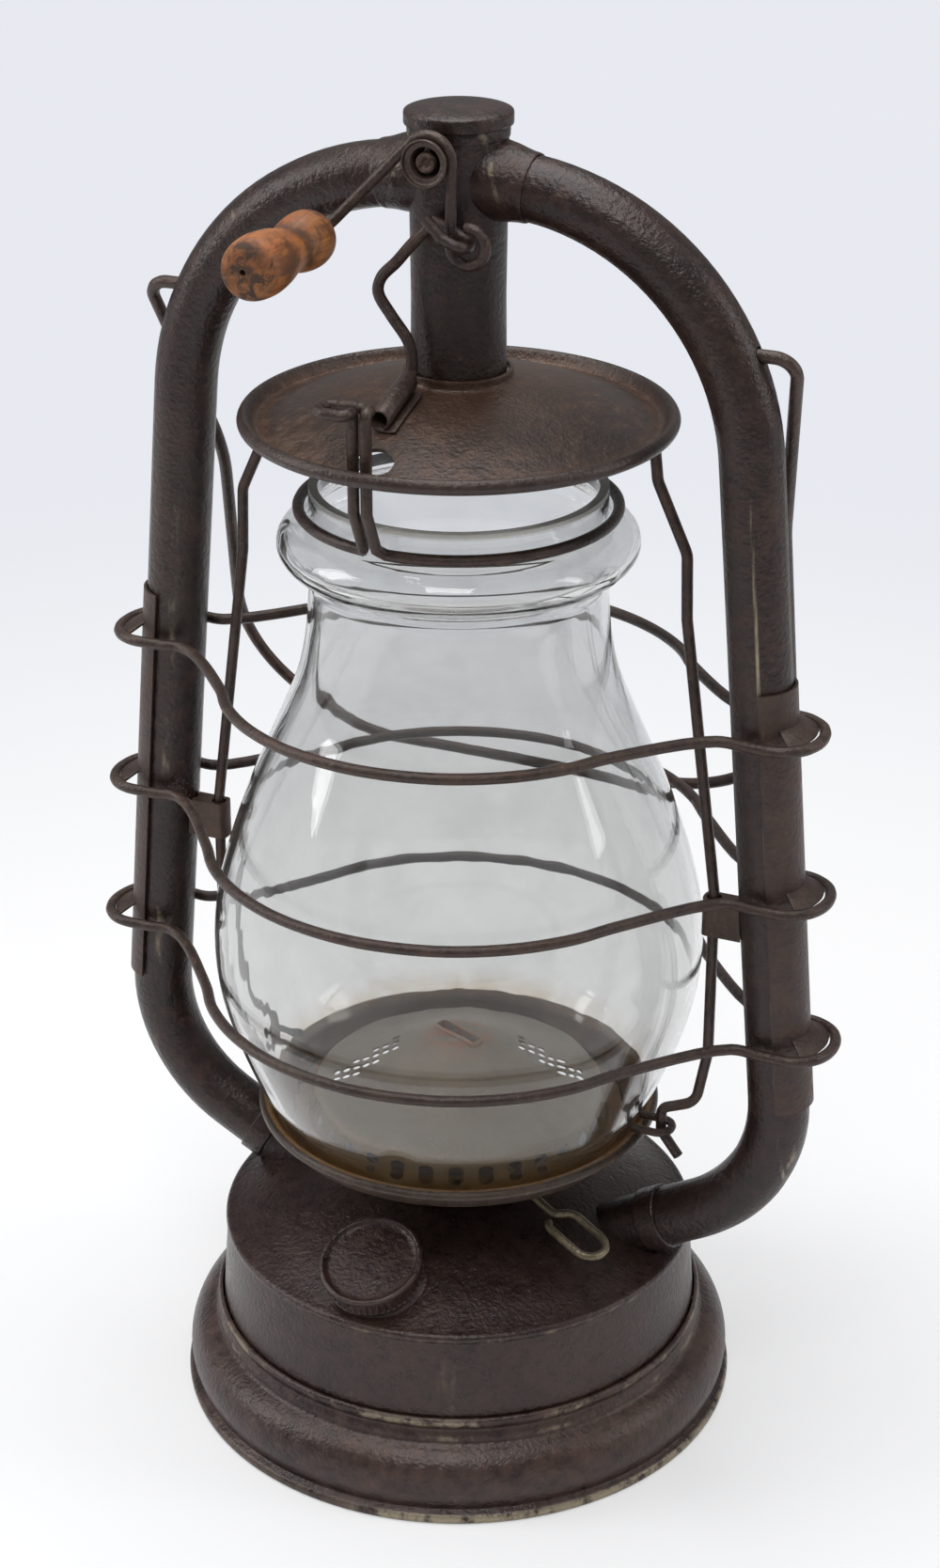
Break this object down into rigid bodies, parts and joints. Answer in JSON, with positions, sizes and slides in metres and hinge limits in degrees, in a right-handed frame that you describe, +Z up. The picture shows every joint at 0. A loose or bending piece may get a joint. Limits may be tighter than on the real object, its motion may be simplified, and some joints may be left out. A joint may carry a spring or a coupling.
{
  "type": "barn lantern",
  "caption": "Tubular storm lantern: domed fuel tank on a flared foot, tall clear globe in a wire guard, lever-raised hood and globe plate, wick raiser and swinging wire bail.",
  "frame": {"origin": "on the lantern's upright axis, in the plane that the foot stands on", "axes": "+Z up; X toward the right side tube seen from the front; +Y to the back, so the filler cap and the lever grip face -Y"},
  "size_m": [0.2074, 0.15, 0.3496],
  "materials": {
    "brown_tinplate": "dark brown patina over tinplate, satin",
    "rusty_tinplate": "rusty brown tinplate, dull",
    "dark_wire": "dark oxidised steel wire",
    "old_brass": "tarnished brass",
    "turned_wood": "worn varnish",
    "clear_glass": "clear pressed glass",
    "wick_cotton": "woven cotton, scorched at the top",
    "cap_gasket": "matte"
  },
  "bodies": {
    "frame": {"base_foot": "brown_tinplate", "fuel_tank": "brown_tinplate", "filler_neck": "brown_tinplate", "burner_collar": "brown_tinplate", "burner_body": "old_brass", "wick_tube": "old_brass", "right_side_tube": "brown_tinplate", "right_tube_sleeve": "brown_tinplate", "left_side_tube": "brown_tinplate", "left_tube_sleeve": "brown_tinplate", "centre_tube": "brown_tinplate", "crown_cap": "brown_tinplate", "guard_wire_upper": "dark_wire", "guard_wire_middle": "dark_wire", "guard_wire_lower": "dark_wire", "guard_strip_right": "brown_tinplate", "guard_strip_left": "brown_tinplate", "guide_bracket_right": "rusty_tinplate", "guide_bracket_left": "rusty_tinplate", "lever_boss": "brown_tinplate", "lever_pin": "rusty_tinplate"},
    "filler_closure": {"filler_cap": "brown_tinplate", "filler_gasket": "cap_gasket"},
    "wick_strip": {"wick": "wick_cotton"},
    "wick_knob": {"wick_raiser": "old_brass", "raiser_wheel": "old_brass"},
    "carriage": {"hood_disc": "rusty_tinplate", "carrier_wire_right": "dark_wire", "carrier_wire_left": "dark_wire", "plate_ear_right": "dark_wire", "plate_ear_left": "dark_wire", "globe_plate": "rusty_tinplate", "draught_dome": "rusty_tinplate", "globe": "clear_glass", "link_clip": "rusty_tinplate"},
    "globe_retainer": {"neck_ring": "dark_wire"},
    "link": {"lift_link": "dark_wire"},
    "lever": {"lift_lever": "dark_wire", "lever_grip": "turned_wood"},
    "handle": {"bail": "dark_wire"}
  },
  "joints": [
    {"name": "carriage_lift", "type": "slide", "parent": "frame", "child": "carriage", "axis": [0, 0, -1], "range_m": [-0.0126, 0]},
    {"name": "lever_turn", "type": "hinge", "parent": "frame", "child": "lever", "pos_m": [0, -0.0174, 0.34], "axis": [0, 1, 0], "range_deg": [-30.5, 0]},
    {"name": "link_turn", "type": "hinge", "parent": "carriage", "child": "link", "pos_m": [-0.0072, -0.0196, 0.2861], "axis": [0, -1, 0], "range_deg": [-14.6, 0]},
    {"name": "neck_ring_lift", "type": "slide", "parent": "carriage", "child": "globe_retainer", "axis": [0, 0, 1], "range_m": [0, 0.008]},
    {"name": "raiser_turn", "type": "hinge", "parent": "frame", "child": "wick_knob", "pos_m": [-0.00236, -0.00584, 0.0794], "axis": [0.8956, -0.3618, -0.2588], "range_deg": [-90, 90]},
    {"name": "wick_rise", "type": "slide", "parent": "frame", "child": "wick_strip", "axis": [0, 0, 1], "range_m": [-0.0076, 0.0076]},
    {"name": "filler_turn", "type": "hinge", "parent": "frame", "child": "filler_closure", "pos_m": [-0.00171, -0.04897, 0.0546], "axis": [-0.0139, -0.3985, 0.9171], "range_deg": [0, 340]},
    {"name": "bail_swing", "type": "hinge", "parent": "frame", "child": "handle", "pos_m": [0, 0, 0.2986], "axis": [1, 0, 0], "range_deg": [0, 311]}
  ],
  "couplings": [
    {"joint": "lever_turn", "follows": "carriage_lift", "rad_per_m": 41.6},
    {"joint": "link_turn", "follows": "carriage_lift", "rad_per_m": 19.67},
    {"joint": "raiser_turn", "follows": "wick_rise", "rad_per_m": 204}
  ]
}
